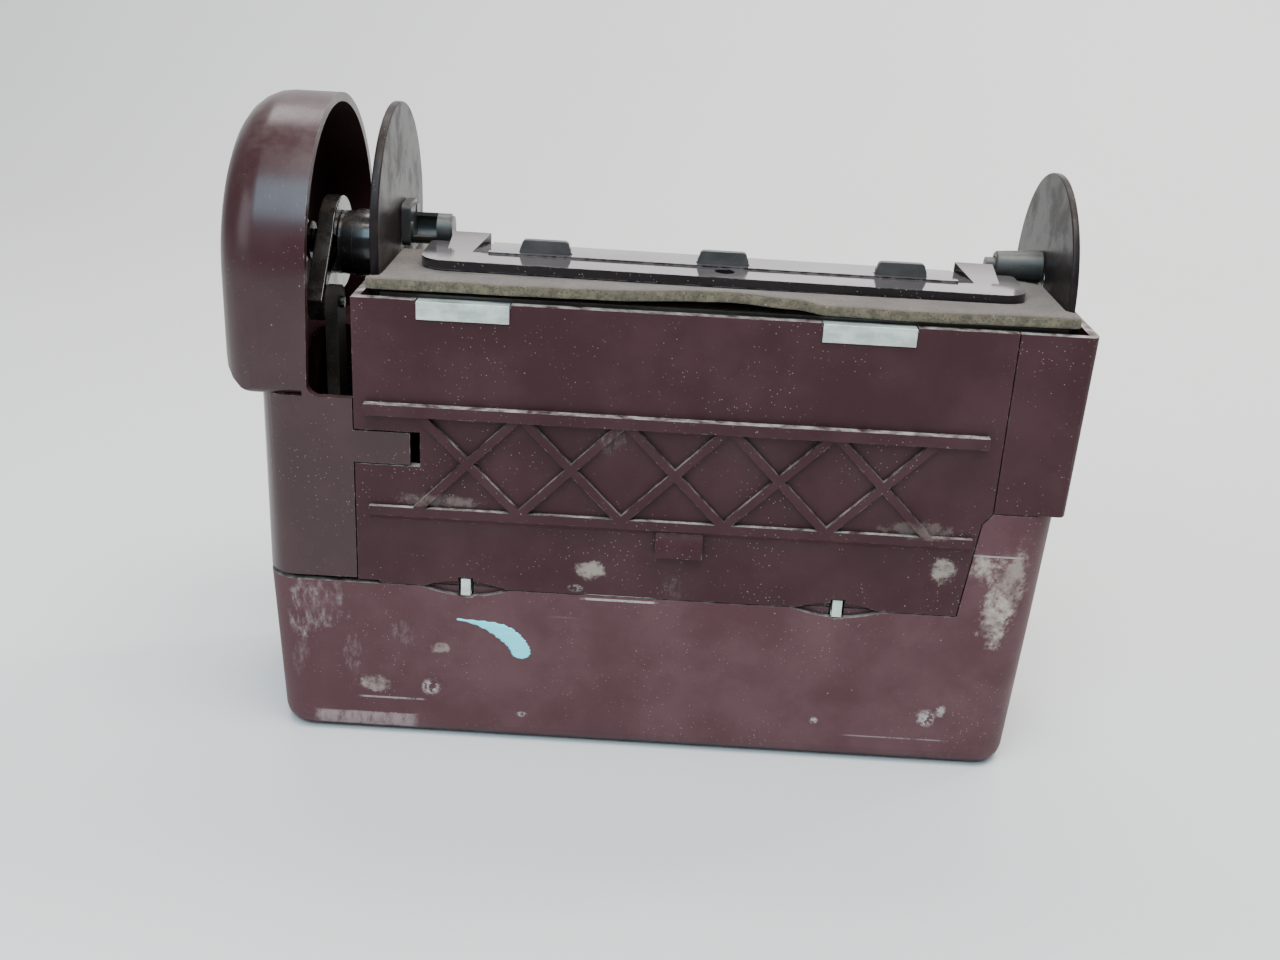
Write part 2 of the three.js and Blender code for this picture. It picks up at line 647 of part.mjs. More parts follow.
// Sheet-metal channel that straddles the panel's top edge.
function panelClip(x) {
  const outerFront = -GAP / 3 - CLIP_THICKNESS;
  const outerBack = PANEL_THICKNESS + GAP / 3 + CLIP_THICKNESS;
  const block = box(x, x + CLIP_WIDTH, outerFront, outerBack, CLIP_TOP - 4.7, CLIP_TOP);
  const inside = box(
    x - 1, x + CLIP_WIDTH + 1, outerFront + CLIP_THICKNESS, outerBack - CLIP_THICKNESS,
    CLIP_TOP - 8, CLIP_TOP - CLIP_THICKNESS,
  );
  return block.subtract(inside);
}

// Spring tongue in a finger pocket: a short upright tip with a tail that goes in through the wall.
function latchTongue(x) {
  const tip = box(x - 1.3, x + 1.3, 0.2, 1.4, SEAM_Z - 2.2, SEAM_Z + 2.8);
  const tail = box(x - 1.5, x + 1.5, 1, 9, SEAM_Z - 2.2, SEAM_Z - 1.2);
  const heel = box(x - 1.5, x + 1.5, 8.2, 9, SEAM_Z - 2.2, SEAM_Z + 5);
  return union([tip, tail, heel]);
}

// ---- heads ---------------------------------------------------------------------------------------

const COLLAR_THICKNESS = 3.4;
const LEFT_STUB_LENGTH = 14.1;
const WINDOW_START = 3.4;
const WINDOW_END = 9.8;
const RIGHT_STUB_LENGTH = 12.9;
const BORE_START = 1.7;
const LIP = 1.1;
const SPRING_START = 4.6;
const SPRING_LENGTH = 5;

function flangeDisc({ face, side, thickness, radius, z }) {
  const x0 = side > 0 ? face - thickness : face;
  const plate = prismX(circle(AXIS_Y, z, radius), x0, x0 + thickness, { curveSegments: 32 });
  return plate.subtract(rodX(AXIS_Y, AXIS_Z, SHAFT_RADIUS + GAP, x0 - 1, x0 + 4, 8));
}

// Block on the left disc's inner face with a stub on it: half open in the middle, a solid ring at its end.
function leftSpigot() {
  const root = LEFT_DISC.face + GAP;
  const block = roundedRectangle(STUB_Y - 4.6, STUB_Y + 6.8, LEFT_STUB_Z - 4.5, LEFT_STUB_Z + 7.2, 2);
  const collar = prismX(block, root, root + COLLAR_THICKNESS - 1, { curveSegments: 3 });
  const nose = roundedRectangle(STUB_Y - 3.6, STUB_Y + 5.8, LEFT_STUB_Z - 3.7, LEFT_STUB_Z + 6.2, 2);
  const step = prismX(nose, root + COLLAR_THICKNESS - 1.2, root + COLLAR_THICKNESS, { curveSegments: 3 });
  const end = LEFT_DISC.face + LEFT_STUB_LENGTH;
  const stub = rodX(STUB_Y, LEFT_STUB_Z, STUB_RADIUS, root + 1, end - 0.7, 14);
  const chamfer = rodX(STUB_Y, LEFT_STUB_Z, STUB_RADIUS - 0.6, end - 0.9, end, 14);
  const from = LEFT_DISC.face + WINDOW_START;
  const to = LEFT_DISC.face + WINDOW_END;
  const bore = rodX(STUB_Y, LEFT_STUB_Z, STUB_RADIUS - 1, from, to, 12);
  const opening = box(from, to, STUB_Y - 8, STUB_Y + 0.8, LEFT_STUB_Z - 1.6, LEFT_STUB_Z + 8);
  return cut(union([collar, step, stub, chamfer]), [bore, opening]);
}

const RIGHT_TIP_RADIUS = 2;
const TIP_PROUD = 2.6;

// Tapering stub on the right disc's inner face, bored for its plunger.
function rightSpigot() {
  const root = RIGHT_DISC.face - GAP;
  const end = RIGHT_DISC.face - RIGHT_STUB_LENGTH;
  const outside = [
    [end, 0],
    [end, STUB_RADIUS - 0.9],
    [end + 0.4, STUB_RADIUS - 0.5],
    [root, STUB_RADIUS + 0.2],
    [root, 0],
  ];
  const bore = rodX(STUB_Y, RIGHT_STUB_Z, STUB_BORE - 0.2, end + LIP, RIGHT_DISC.face - BORE_START, 10);
  const mouth = rodX(STUB_Y, RIGHT_STUB_Z, RIGHT_TIP_RADIUS + 0.25, end - 1, end + LIP + 0.1, 10);
  return cut(turnedX(outside, STUB_Y, RIGHT_STUB_Z, 28), [bore, mouth]);
}

// Spring-loaded rod in the right stub: a tail inside the coil, a full-width head and a tip.
function rightPlunger() {
  const headStart = SPRING_START + SPRING_LENGTH + 0.2;
  const headEnd = RIGHT_STUB_LENGTH - LIP - GAP;
  const stretches = [
    [SPRING_START + 1, headStart + 0.2, 1.2],
    [headStart, headEnd, PLUNGER_RADIUS],
    [headEnd - 0.2, RIGHT_STUB_LENGTH + TIP_PROUD, RIGHT_TIP_RADIUS],
  ];
  return union(stretches.map(([from, to, radius]) => (
    rodX(STUB_Y, RIGHT_STUB_Z, radius, RIGHT_DISC.face - to, RIGHT_DISC.face - from, 8)
  )));
}

function plungerSpring() {
  const x0 = RIGHT_DISC.face - SPRING_START - SPRING_LENGTH;
  const geometry = springGeometry(1.9, 0.5, SPRING_LENGTH - 0.6, 4);
  return solid(geometry.rotateY(Math.PI / 2).translate(x0 + 0.3, STUB_Y, RIGHT_STUB_Z));
}

// ---- crank, link and slider ----------------------------------------------------------------------

const CRANK_HUB_RADIUS = 12.8;
const SHAFT_RADIUS = 3.3;
const LINK_PIN_RADIUS = 1.5;

function crankArm() {
  const hub = rodX(AXIS_Y, AXIS_Z, CRANK_HUB_RADIUS, ARM_LEFT, ARM_RIGHT, 16);
  const angle = Math.atan2(PIN_Z - AXIS_Z, PIN_Y - AXIS_Y);
  const reach = Math.hypot(PIN_Z - AXIS_Z, PIN_Y - AXIS_Y);
  const point = (along, across) => [
    AXIS_Y + along * Math.cos(angle) - across * Math.sin(angle),
    AXIS_Z + along * Math.sin(angle) + across * Math.cos(angle),
  ];
  const blade = prismX(
    polygon([point(2, 12), point(reach + 4, 3.6), point(reach + 4, -3.6), point(2, -12)].reverse()),
    ARM_LEFT, ARM_RIGHT,
  );
  const shaftBore = rodX(AXIS_Y, AXIS_Z, SHAFT_RADIUS + GAP, ARM_LEFT - 1, ARM_RIGHT + 1, 10);
  const pinBore = rodX(PIN_Y, PIN_Z, LINK_PIN_RADIUS + 0.2, ARM_LEFT - 1, ARM_RIGHT + 1, 6);
  return cut(union([hub, blade]), [shaftBore, pinBore]);
}

// Stepped sleeve between the crank arm and the left disc.
function headBoss() {
  const profile = [
    [ARM_RIGHT + GAP, SHAFT_RADIUS + GAP],
    [ARM_RIGHT + GAP, 8.8],
    [-6.8, 8.8],
    [-6.8, 9.3],
    [LEFT_DISC.face - LEFT_DISC.thickness - GAP, 9.3],
    [LEFT_DISC.face - LEFT_DISC.thickness - GAP, SHAFT_RADIUS + GAP],
    [ARM_RIGHT + GAP, SHAFT_RADIUS + GAP],
  ];
  return turnedX(profile, AXIS_Y, AXIS_Z, 28);
}

function linkBar() {
  const slim = roundedRectangle(PIN_Y - 4.5, PIN_Y + 4.5, SLIDER_PIN_Z - 5, PIN_Z + 4.5, 4);
  const bar = prismX(slim, LINK_LEFT, LINK_RIGHT, { curveSegments: 5 });
  const upperBore = rodX(PIN_Y, PIN_Z, LINK_PIN_RADIUS + 0.2, LINK_LEFT - 1, LINK_RIGHT + 1, 6);
  const lowerBore = rodX(PIN_Y, SLIDER_PIN_Z, 3, LINK_LEFT - 1, LINK_RIGHT + 1, 8);
  return cut(bar, [upperBore, lowerBore]);
}

function crankPin() {
  const profile = [
    [ARM_LEFT - 1.5, 0],
    [ARM_LEFT - 1.5, 2.8],
    [ARM_LEFT - GAP, 2.8],
    [ARM_LEFT - GAP, LINK_PIN_RADIUS],
    [LINK_RIGHT + 0.9, LINK_PIN_RADIUS],
    [LINK_RIGHT + 0.9, 0],
  ];
  return turnedX(profile, PIN_Y, PIN_Z, 14);
}

const SLIDER = { left: -14.6, right: -3.2, front: 14.5, back: 29.5, bottom: 50, top: 69 };

function tensionSlider() {
  const { left, right, front, back, bottom, top } = SLIDER;
  const block = box(left, right, front, back, bottom, top);
  const fork = box(LINK_LEFT - 0.4, LINK_RIGHT + 0.4, front - 1, back + 1, bottom + 6.5, top + 1);
  const pinBore = rodX(PIN_Y, SLIDER_PIN_Z, LINK_PIN_RADIUS + 0.2, left - 1, right + 1, 6);
  return cut(block, [fork, pinBore]);
}

function sliderGuide() {
  const { left, right, front, back } = SLIDER;
  const floorZ = FOOT_Z + WALL + 0.7;
  const block = box(left - 2, right + 2, front + 2, back + 2.6, floorZ, 80);
  const channel = box(left - 0.4, right + 0.4, front - 2, back + 0.5, floorZ + 3, 90);
  const foot = box(left - 2, right + 2, front - 4, back + 2.6, floorZ, floorZ + 2.4);
  return block.subtract(channel).add(foot);
}

function returnSpring() {
  const bottom = FOOT_Z + WALL + 6.6;
  const length = SLIDER.bottom - bottom - 1.8;
  const x = (SLIDER.left + SLIDER.right) / 2;
  const y = (SLIDER.front + SLIDER.back) / 2;
  return solid(springGeometry(4.2, 1, length, 8).translate(x, y, bottom + 0.6));
}

// Plain bush from x0 to x1 with a flange from flangeX0 to flangeX1.
function bush(x0, x1, flangeX0, flangeX1) {
  const sleeve = rodX(AXIS_Y, AXIS_Z, 5.1, x0, x1, 8);
  const flange = rodX(AXIS_Y, AXIS_Z, 7, flangeX0, flangeX1, 8);
  const bore = rodX(AXIS_Y, AXIS_Z, SHAFT_RADIUS + 0.15, x0 - 5, x1 + 5, 10);
  return sleeve.add(flange).subtract(bore);
}

// Split ring in the groove at the shaft's end.
function retainingRing(x0, x1) {
  const ring = rodX(AXIS_Y, AXIS_Z, 5.4, x0, x1, 8).subtract(rodX(AXIS_Y, AXIS_Z, 2.9, x0 - 1, x1 + 1, 8));
  return ring.subtract(box(x0 - 1, x1 + 1, AXIS_Y - 1.2, AXIS_Y + 1.2, AXIS_Z - 8, AXIS_Z));
}

function headShaft() {
  const profile = [
    [-30.6, 0],
    [-30.6, SHAFT_RADIUS],
    [-20.8, SHAFT_RADIUS],
    [-20.8, 2.6],
    [-19.2, 2.6],
    [-19.2, SHAFT_RADIUS],
    [LEFT_DISC.face - 0.1, SHAFT_RADIUS],
    [LEFT_DISC.face - 0.1, 0],
  ];
  return turnedX(profile, AXIS_Y, AXIS_Z, 24);
}

function rightPivot() {
  const profile = [
    [RIGHT_DISC.face + 0.1, 0],
    [RIGHT_DISC.face + 0.1, SHAFT_RADIUS],
    [BODY_RIGHT - 0.1, SHAFT_RADIUS],
    [BODY_RIGHT - 0.1, 0],
  ];
  return turnedX(profile, AXIS_Y, AXIS_Z, 24);
}

// ---- put together --------------------------------------------------------------------------------

addPart('base_tub', baseTub(), TUB_BROWN);
addPart('left_end_cover', leftEndCover(), HOOD_BLACK);
addPart('front_panel', frontPanel(), MAROON);
addPart('right_end_cover', rightEndCover(), MAROON);
addPart('rear_panel', rearPanel(), MAROON);
addPart('top_deck', topDeck(), DULL_BLACK);
addPart('foam_gasket', foamGasket(), FOAM);
addPart('guide_plate', guidePlate(), GLOSS_BLACK);
HOOK_XS.forEach((x, index) => addPart(`retaining_hook_${index + 1}`, retainingHook(x), DARK_GREY));
CLIP_LEFTS.forEach((x, index) => addPart(`panel_clip_${index + 1}`, panelClip(x), ZINC));
RECESS_CENTRES.forEach((x, index) => addPart(`latch_tongue_${index + 1}`, latchTongue(x), ZINC));
REAR_SCREWS.forEach(([x, z], index) => addPart(`rear_screw_${index + 1}`, rearScrew(x, z), STEEL));

addPart('hub_bush', bush(-31.2, -24 + GAP, -23.7, -22), ACETAL);
addPart('slider_guide', sliderGuide(), DULL_BLACK);
addPart('return_spring', returnSpring(), STEEL);
const rightFlangeEnd = COVER_INSIDE - GAP;
addPart(
  'right_bush',
  bush(COVER_INSIDE - 0.6, BODY_RIGHT - GAP, COVER_INSIDE - 0.9, rightFlangeEnd),
  ACETAL,
);

const leftHead = new THREE.Group();
addPart('head_shaft', headShaft(), STEEL, leftHead);
addPart('shaft_ring', retainingRing(-20.5, -19.5), STEEL, leftHead);
addPart('head_boss', headBoss(), DULL_BLACK, leftHead);
addPart('left_disc', flangeDisc(LEFT_DISC), DULL_BLACK, leftHead);
addPart('left_spigot', leftSpigot(), DARK_GREY, leftHead);
addPart('crank_arm', crankArm(), DULL_BLACK, leftHead);
addPart('crank_pin', crankPin(), STEEL, leftHead);
model.add(leftHead);

addPart('link_bar', linkBar(), DULL_BLACK);
addPart('tension_slider', tensionSlider(), ACETAL);
const sliderPin = rodX(PIN_Y, SLIDER_PIN_Z, LINK_PIN_RADIUS, SLIDER.left + 0.5, SLIDER.right - 0.5, 6);
addPart('slider_pin', sliderPin, STEEL);

const rightHead = new THREE.Group();
addPart('right_pivot', rightPivot(), STEEL, rightHead);
addPart('right_disc', flangeDisc(RIGHT_DISC), DULL_BLACK, rightHead);
addPart('right_spigot', rightSpigot(), DARK_GREY, rightHead);
addPart('right_plunger', rightPlunger(), DARK_GREY, rightHead);
addPart('right_plunger_spring', plungerSpring(), STEEL, rightHead);
model.add(rightHead);

// The origin: middle of the bounding box, at the level of the underside.
const box3 = new THREE.Box3().setFromObject(model);
model.position.set(-(box3.min.x + box3.max.x) / 2, -(box3.min.y + box3.max.y) / 2, -box3.min.z);

export default model;
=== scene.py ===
import json
import math

import bmesh
import bpy
from mathutils import Matrix, Vector


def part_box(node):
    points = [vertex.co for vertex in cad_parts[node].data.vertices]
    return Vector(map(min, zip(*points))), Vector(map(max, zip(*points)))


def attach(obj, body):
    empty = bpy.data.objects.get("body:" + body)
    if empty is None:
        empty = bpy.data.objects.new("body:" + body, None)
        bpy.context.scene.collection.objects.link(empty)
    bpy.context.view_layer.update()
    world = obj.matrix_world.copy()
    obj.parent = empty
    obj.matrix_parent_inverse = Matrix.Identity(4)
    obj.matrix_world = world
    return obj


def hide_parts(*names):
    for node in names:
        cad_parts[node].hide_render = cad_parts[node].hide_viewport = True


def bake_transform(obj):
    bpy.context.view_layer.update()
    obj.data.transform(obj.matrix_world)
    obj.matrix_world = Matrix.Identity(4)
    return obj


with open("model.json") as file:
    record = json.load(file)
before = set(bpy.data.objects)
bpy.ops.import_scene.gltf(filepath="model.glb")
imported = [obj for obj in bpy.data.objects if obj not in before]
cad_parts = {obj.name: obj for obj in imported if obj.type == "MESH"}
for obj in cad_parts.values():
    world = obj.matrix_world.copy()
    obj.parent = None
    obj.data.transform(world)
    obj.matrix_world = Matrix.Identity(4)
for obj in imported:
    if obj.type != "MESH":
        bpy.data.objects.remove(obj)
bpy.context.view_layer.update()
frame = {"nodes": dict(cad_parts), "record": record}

# Roll holder unit: looks, soft piece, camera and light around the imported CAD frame. Metres, +Z up.

MM = 0.001
nodes = frame["nodes"]

# The marks are placed from the front face, the panel's left seam and the floor.
FRONT_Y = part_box("right_end_cover")[0].y
SEAM_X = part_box("front_panel")[0].x
FLOOR_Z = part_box("base_tub")[0].z


# ---- node graphs ---------------------------------------------------------------------------------

class Graph:
    """A material's node tree, with short calls for the nodes that the finishes share."""

    def __init__(self, name):
        self.material = bpy.data.materials.new(name)
        self.material.use_nodes = True
        self.tree = self.material.node_tree
        self.surface = self.tree.nodes["Principled BSDF"]
        coordinates = self.tree.nodes.new("ShaderNodeTexCoord")
        self.place = coordinates.outputs["Object"]
        geometry = self.tree.nodes.new("ShaderNodeNewGeometry")
        self.normal = geometry.outputs["Normal"]

    def put(self, socket, value):
        if isinstance(value, bpy.types.NodeSocket):
            self.tree.links.new(value, socket)
        else:
            socket.default_value = value

    def math(self, operation, a, b=0.0, clamp=False):
        node = self.tree.nodes.new("ShaderNodeMath")
        node.operation = operation
        node.use_clamp = clamp
        self.put(node.inputs[0], a)
        self.put(node.inputs[1], b)
        return node.outputs[0]

    def add(self, a, b):
        return self.math("ADD", a, b)

    def times(self, a, b):
        return self.math("MULTIPLY", a, b)

    def greatest(self, values):
        top = values[0]
        for value in values[1:]:
            top = self.math("MAXIMUM", top, value)
        return top

    def range(self, value, low, high, to_low=0.0, to_high=1.0):
        """Smooth step of value from low to high."""
        node = self.tree.nodes.new("ShaderNodeMapRange")
        node.interpolation_type = "SMOOTHSTEP"
        self.put(node.inputs["Value"], value)
        for name, number in zip(("From Min", "From Max", "To Min", "To Max"), (low, high, to_low, to_high)):
            node.inputs[name].default_value = number
        return node.outputs["Result"]

    def scaled(self, stretch, turn=(0, 0, 0)):
        node = self.tree.nodes.new("ShaderNodeMapping")
        self.put(node.inputs["Vector"], self.place)
        node.inputs["Scale"].default_value = stretch
        node.inputs["Rotation"].default_value = turn
        return node.outputs["Vector"]

    def noise(self, size, detail=3.0, rough=0.55, stretch=(1, 1, 1), turn=(0, 0, 0)):
        """Noise whose blobs are about size metres across."""
        node = self.tree.nodes.new("ShaderNodeTexNoise")
        self.put(node.inputs["Vector"], self.scaled(stretch, turn))
        node.inputs["Scale"].default_value = 1 / size
        node.inputs["Detail"].default_value = detail
        node.inputs["Roughness"].default_value = rough
        return node.outputs[0]

    def specks(self, size, radius):
        """Round dots: 1 inside radius (a share of size) of scattered points size metres apart."""
        node = self.tree.nodes.new("ShaderNodeTexVoronoi")
        self.put(node.inputs["Vector"], self.place)
        node.inputs["Scale"].default_value = 1 / size
        return self.range(node.outputs["Distance"], radius * 1.25, radius * 0.75)

    def axis(self, vector, index):
        node = self.tree.nodes.new("ShaderNodeSeparateXYZ")
        self.put(node.inputs[0], vector)
        return node.outputs[index]

    def blend(self, factor, a, b):
        node = self.tree.nodes.new("ShaderNodeMix")
        node.data_type = "RGBA"
        self.put(node.inputs["Factor"], factor)
        for socket, colour in ((node.inputs["A"], a), (node.inputs["B"], b)):
            self.put(socket, colour if isinstance(colour, bpy.types.NodeSocket) else (*colour, 1))
        return node.outputs["Result"]

    def offset(self, index, centre, half):
        """Distance from centre along one axis, as a share of half."""
        away = self.math("SUBTRACT", self.axis(self.place, index), centre)
        return self.math("ABSOLUTE", self.times(away, 1 / half))

    def facing_front(self):
        return self.range(self.axis(self.place, 1), FRONT_Y + 6 * MM, FRONT_Y + 3 * MM)

    def blot(self, centre, half, rim):
        """1 inside an oval on the front face, its edge broken up by rim; centre and half are in X and Z."""
        across = self.math("POWER", self.offset(0, centre[0], half[0]), 2)
        up = self.math("POWER", self.offset(2, centre[1], half[1]), 2)
        ragged = self.add(self.add(across, up), self.times(self.math("SUBTRACT", rim, 0.5), 5.5))
        return self.times(self.range(ragged, 1.25, 0.15), self.facing_front())

    def bar(self, centre, half, rim):
        """1 inside a straight bar on the front face, its ends and edges a little uneven."""
        across = self.offset(0, centre[0], half[0])
        up = self.offset(2, centre[1], half[1])
        ragged = self.add(self.math("MAXIMUM", across, up), self.times(self.math("SUBTRACT", rim, 0.5), 0.5))
        return self.times(self.range(ragged, 1.1, 0.85), self.facing_front())

    def bump(self, height, distance, strength=1.0, under=None):
        node = self.tree.nodes.new("ShaderNodeBump")
        node.inputs["Strength"].default_value = strength
        node.inputs["Distance"].default_value = distance
        self.put(node.inputs["Height"], height)
        if under is not None:
            self.put(node.inputs["Normal"], under)
        return node.outputs["Normal"]

    def worn_edge(self, radius):
        """1 where the surface turns sharply within radius, as along an edge."""
        node = self.tree.nodes.new("ShaderNodeBevel")
        node.samples = 4
        node.inputs["Radius"].default_value = radius
        dot = self.tree.nodes.new("ShaderNodeVectorMath")
        dot.operation = "DOT_PRODUCT"
        self.put(dot.inputs[0], node.outputs[0])
        self.put(dot.inputs[1], self.normal)
        return self.range(dot.outputs["Value"], 0.985, 0.90)

    def crevice(self, distance):
        """Grows to 1 in corners that are closer than distance to their neighbours."""
        node = self.tree.nodes.new("ShaderNodeAmbientOcclusion")
        node.samples = 6
        node.inputs["Distance"].default_value = distance
        return self.range(node.outputs["AO"], 0.75, 0.25)

    def finish(self, colour, roughness, normal=None, **fixed):
        base = colour if isinstance(colour, bpy.types.NodeSocket) else (*colour, 1)
        self.put(self.surface.inputs["Base Color"], base)
        self.put(self.surface.inputs["Roughness"], roughness)
        if normal is not None:
            self.put(self.surface.inputs["Normal"], normal)
        for name, value in fixed.items():
            self.surface.inputs[name.replace("_", " ")].default_value = value
        return self.material


# ---- finishes ------------------------------------------------------------------------------------

# Near-black blended into the corners and recesses of the moulded shells: painted shade.
CREVICE_SHADE = (0.012, 0.009, 0.008)
PALE_DUST = (0.52, 0.49, 0.44)
WHITE_SCUFF = (0.62, 0.58, 0.55)
SPECK = (0.40, 0.34, 0.29)


def upward_dust(graph, amount, size=4 * MM):
    """Dust that has settled on faces that look up, thicker in some places than in others."""
    upward = graph.range(graph.axis(graph.normal, 2), 0.35, 0.95)
    patchy = graph.range(graph.noise(size, 5, 0.65), 0.30, 0.72)
    return graph.times(graph.times(upward, patchy), amount)


def scattered_specks(graph, size, radius, amount, crowd=14 * MM):
    """Fine specks of dust, gathered in loose crowds."""
    crowded = graph.range(graph.noise(crowd, 4, 0.7), 0.44, 0.62)
    return graph.times(graph.times(graph.specks(size, radius), crowded), amount)


def moulded_plastic(
    name, colour, worn, rough, dust=0.5, specks=0.7, crevice_shade=0.35, edges=0.4, scuffs=(), **fixed
):
    """Satin moulded shell: slight mottling, fine grain, handling smears, scratches, painted shade in its
    corners and recesses, dust and worn edges.
    """
    graph = Graph(name)
    tone = moulded_tone(graph, colour, worn)
    scratches = graph.times(
        graph.range(graph.noise(2.4 * MM, 2, 0.5, (0.05, 1, 1), (0, 0.55, 0)), 0.70, 0.76),
        graph.range(graph.noise(30 * MM, 2), 0.50, 0.66),
    )
    tone = graph.blend(graph.times(scratches, 0.25), tone, WHITE_SCUFF)
    # Corners and recesses are blended towards near-black: painted shade.
    tone = graph.blend(graph.times(graph.crevice(4.5 * MM), crevice_shade), tone, CREVICE_SHADE)
    tone = graph.blend(upward_dust(graph, dust), tone, PALE_DUST)
    chips = graph.times(graph.worn_edge(0.35 * MM), graph.range(graph.noise(2.6 * MM, 5, 0.75), 0.52, 0.66))
    tone = graph.blend(graph.times(chips, edges), tone, PALE_DUST)
    fine = scattered_specks(graph, 1.15 * MM, 0.115, specks * 0.85, 16 * MM)
    coarse = scattered_specks(graph, 5.2 * MM, 0.036, specks, 45 * MM)
    tone = graph.blend(graph.greatest([fine, coarse]), tone, SPECK)
    for mask, shade in scuffs_of(graph, scuffs):
        tone = graph.blend(mask, tone, shade)
    smear = graph.noise(26 * MM, 3, 0.5, (1, 1, 0.45))
    roughness = graph.add(graph.range(smear, 0.3, 0.7, rough - 0.06, rough + 0.08), graph.times(fine, 0.2))
    grain = graph.bump(graph.noise(0.34 * MM, 2, 0.5), 0.02 * MM, 0.35)
    waviness = graph.bump(graph.noise(34 * MM, 1), 0.5 * MM, 0.15, grain)
    return graph.finish(tone, roughness, graph.bump(scratches, 0.03 * MM, 0.5, waviness), **fixed)


def moulded_tone(graph, colour, worn):
    """Base colour with cloudy wear."""
    mottle = graph.range(graph.noise(28 * MM, 5, 0.62), 0.36, 0.70)
    return graph.blend(mottle, colour, worn)


def scuffs_of(graph, scuffs):
    """Masks and colours of the worn patches.

    A patch is (centre x, centre z, half x, half z, amount, kind), in millimetres.
    """
    if not scuffs:
        return []
    streaks = graph.noise(2.6 * MM, 5, 0.72, (1.6, 1, 0.55), (0, 0.25, 0))
    clots = graph.noise(3.4 * MM, 6, 0.75)
    broad = graph.noise(7 * MM, 4, 0.7)
    kinds = {
        "smear": (graph.blot, broad, graph.range(streaks, 0.42, 0.85), WHITE_SCUFF),
        "residue": (graph.blot, clots, graph.range(broad, 0.30, 0.56), (0.60, 0.53, 0.44)),
        "chip": (graph.blot, clots, graph.range(clots, 0.44, 0.50), (0.66, 0.62, 0.60)),
        "tape": (graph.bar, clots, graph.range(streaks, 0.24, 0.58), (0.52, 0.42, 0.42)),
        "line": (graph.bar, clots, graph.range(clots, 0.34, 0.52), (0.60, 0.55, 0.53)),
    }
    made = []
    for x, z, half_x, half_z, amount, kind in scuffs:
        shape, rim, pattern, shade = kinds[kind]
        area = shape((SEAM_X + x * MM, FLOOR_Z + z * MM), (half_x * MM, half_z * MM), rim)
        made.append((graph.times(graph.times(area, pattern), amount), shade))
    return made


def satin_black(name, colour, rough, dust_colour, film=0.15, dust=0.5, speckle=0.5, **fixed):
    """Dark satin moulding with a brown film of dust, fine speckle and rubbed edges."""
    graph = Graph(name)
    cloud = graph.range(graph.noise(11 * MM, 5, 0.65), 0.38, 0.72)
    tone = graph.blend(graph.times(cloud, film), colour, dust_colour)
    dots = scattered_specks(graph, 0.8 * MM, 0.17, speckle, 12 * MM)
    tone = graph.blend(dots, tone, dust_colour)
    tone = graph.blend(graph.times(graph.crevice(2.5 * MM), 0.25), tone, dust_colour)
    tone = graph.blend(upward_dust(graph, dust, 2.5 * MM), tone, dust_colour)
    rubbed = graph.times(graph.worn_edge(0.4 * MM), graph.range(graph.noise(1.6 * MM, 4, 0.7), 0.42, 0.60))
    tone = graph.blend(graph.times(rubbed, 0.35), tone, dust_colour)
    roughness = graph.range(cloud, 0, 1, rough - 0.05, rough + 0.12)
    grain = graph.bump(graph.noise(0.3 * MM, 2), 0.02 * MM, 0.3)
    return graph.finish(tone, roughness, grain, **fixed)


def plate_with_painted_reflection():
    """Guide plate of gloss black plastic: its top is given a lighter, metallic tone with haze and hairlines
    as a painted reflection; gloss black edges, a little dust.
    """
    graph = Graph("plate_with_painted_reflection")
    top = graph.range(graph.axis(graph.normal, 2), 0.72, 0.90)
    haze = graph.range(graph.noise(18 * MM, 4, 0.6, (0.5, 1, 1)), 0.35, 0.75)
    black = graph.blend(graph.times(haze, 0.2), (0.012, 0.009, 0.011), (0.06, 0.045, 0.05))
    # The top is lighter and metallic where the sides stay gloss black: a painted reflection on the same
    # black plastic.
    painted_reflection = graph.blend(haze, (0.34, 0.30, 0.31), (0.46, 0.41, 0.41))
    tone = graph.blend(top, black, painted_reflection)
    dots = scattered_specks(graph, 1.1 * MM, 0.11, 0.7, 9 * MM)
    tone = graph.blend(dots, tone, PALE_DUST)
    rubbed = graph.times(graph.worn_edge(0.5 * MM), graph.range(graph.noise(2.2 * MM, 3), 0.40, 0.60))
    tone = graph.blend(graph.times(rubbed, 0.35), tone, (0.40, 0.38, 0.37))
    hairlines = graph.range(graph.noise(1.2 * MM, 2, 0.5, (0.03, 1, 1), (0, 0, 0.3)), 0.66, 0.78)
    roughness = graph.add(graph.range(haze, 0, 1, 0.07, 0.17), graph.times(graph.add(hairlines, dots), 0.12))
    ripple = graph.bump(graph.noise(14 * MM, 1), 0.25 * MM, 0.2)
    graph.put(graph.surface.inputs["Metallic"], graph.times(top, 0.85))
    return graph.finish(tone, roughness, ripple, IOR=1.55)


